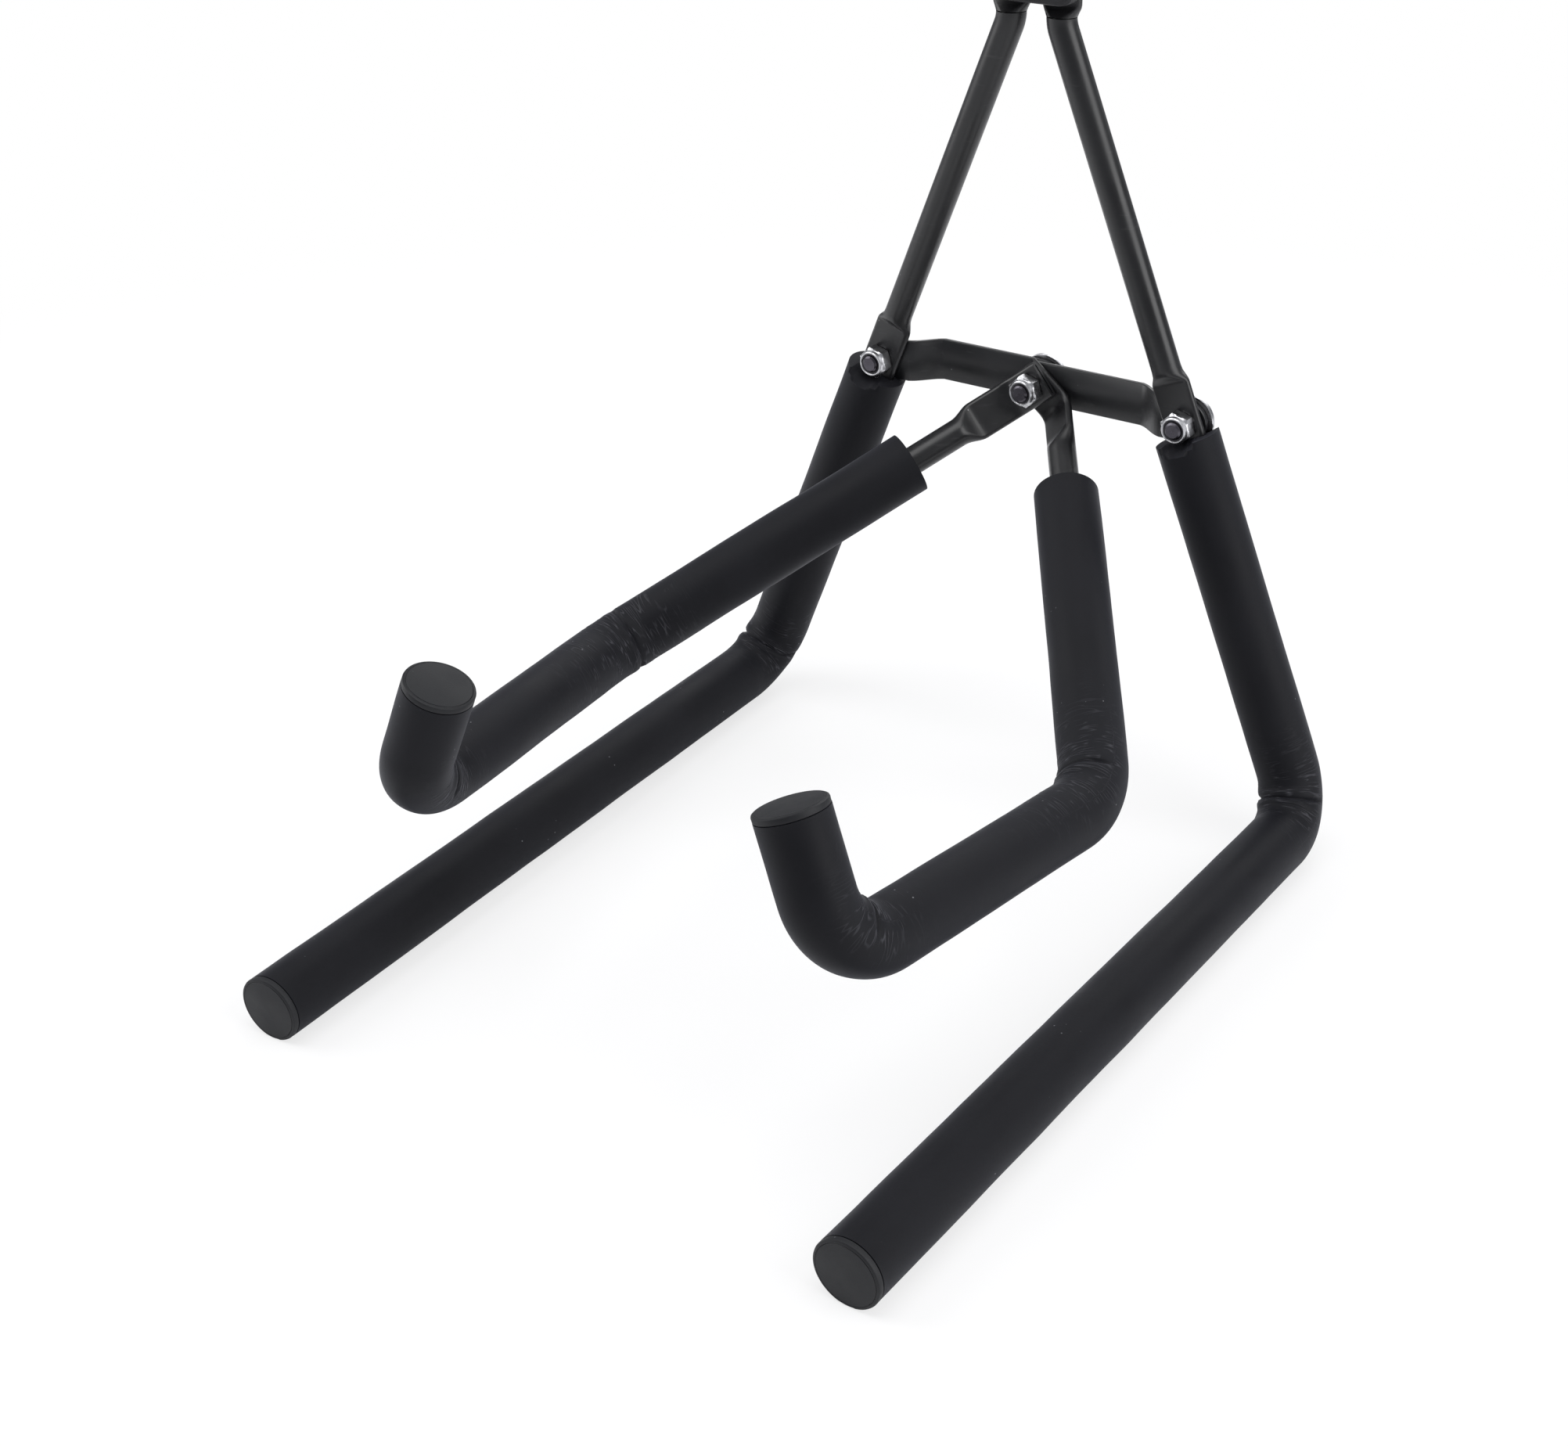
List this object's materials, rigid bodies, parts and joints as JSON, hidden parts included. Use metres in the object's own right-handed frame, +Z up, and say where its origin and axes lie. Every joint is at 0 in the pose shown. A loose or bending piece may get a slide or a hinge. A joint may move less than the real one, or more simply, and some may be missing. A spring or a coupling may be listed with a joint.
{
  "type": "violin stand",
  "caption": "Folding A-frame violin stand of bent steel tube, with foam-padded legs and two upturned padded cradle arms hung from a folding spreader strap.",
  "frame": {"origin": "on the floor, under the middle of the bounding box", "axes": "+Z up; the legs and cradle arms point to -Y; +X across the stand, to the right as seen from the front"},
  "size_m": [0.2518, 0.296, 0.2958],
  "materials": {
    "tube_steel": "satin black powder coat with fine scuffs",
    "strap_steel": "satin black coated flat bar",
    "foam": "matte closed-cell foam with a faint sheen, wrinkled inside its bends",
    "cap_plastic": "matte moulded black plastic",
    "pad_rubber": "matte black rubber",
    "zinc_hardware": "bright zinc plate"
  },
  "bodies": {
    "head": {"head_plate_front": "tube_steel", "head_plate_back": "tube_steel", "right_head_bolt": "zinc_hardware", "left_head_bolt": "zinc_hardware", "right_head_nut": "zinc_hardware", "left_head_nut": "zinc_hardware", "rest_pad": "pad_rubber"},
    "right_side": {"right_side_tube": "tube_steel", "right_side_sleeve": "foam", "right_foot_cap": "cap_plastic", "right_pivot_bolt": "zinc_hardware", "right_pivot_nut": "zinc_hardware", "right_pivot_washer": "zinc_hardware"},
    "left_side": {"left_side_tube": "tube_steel", "left_side_sleeve": "foam", "left_foot_cap": "cap_plastic", "left_pivot_bolt": "zinc_hardware", "left_pivot_nut": "zinc_hardware", "left_pivot_washer": "zinc_hardware"},
    "right_strap": {"right_strap": "strap_steel", "centre_stud": "zinc_hardware", "centre_nut": "zinc_hardware"},
    "left_strap": {"left_strap": "strap_steel", "centre_bolt": "zinc_hardware", "centre_washer": "zinc_hardware"},
    "right_cradle": {"right_cradle_tube": "tube_steel", "right_cradle_sleeve": "foam", "right_cradle_cap": "cap_plastic"},
    "left_cradle": {"left_cradle_tube": "tube_steel", "left_cradle_sleeve": "foam", "left_cradle_cap": "cap_plastic"}
  },
  "joints": [
    {"name": "right_fold", "type": "hinge", "parent": "head", "child": "right_side", "pos_m": [0.0093, 0.12945, 0.2878], "axis": [0, 1, 0], "range_deg": [0, 14]},
    {"name": "left_fold", "type": "hinge", "parent": "head", "child": "left_side", "pos_m": [-0.0093, 0.12945, 0.2878], "axis": [0, 1, 0], "range_deg": [-14, 0]},
    {"name": "right_strap_swing", "type": "hinge", "parent": "right_side", "child": "right_strap", "pos_m": [0.0603, 0.12945, 0.1467], "axis": [0, 1, 0], "range_deg": [0, 51.9]},
    {"name": "left_strap_swing", "type": "hinge", "parent": "left_side", "child": "left_strap", "pos_m": [-0.0603, 0.12945, 0.1467], "axis": [0, 1, 0], "range_deg": [-51.9, 0]},
    {"name": "right_cradle_swing", "type": "hinge", "parent": "right_strap", "child": "right_cradle", "pos_m": [0, 0.12945, 0.1467], "axis": [0, 1, 0], "range_deg": [-36.9, 0]},
    {"name": "left_cradle_swing", "type": "hinge", "parent": "right_strap", "child": "left_cradle", "pos_m": [0, 0.12945, 0.1467], "axis": [0, 1, 0], "range_deg": [-94.9, 0]}
  ],
  "couplings": [
    {"joint": "left_fold", "follows": "right_fold", "ratio": -1},
    {"joint": "right_strap_swing", "follows": "right_fold", "ratio": 3.705},
    {"joint": "left_strap_swing", "follows": "right_fold", "ratio": -3.705},
    {"joint": "right_cradle_swing", "follows": "right_fold", "ratio": -2.6336},
    {"joint": "left_cradle_swing", "follows": "right_fold", "ratio": -6.7765}
  ]
}
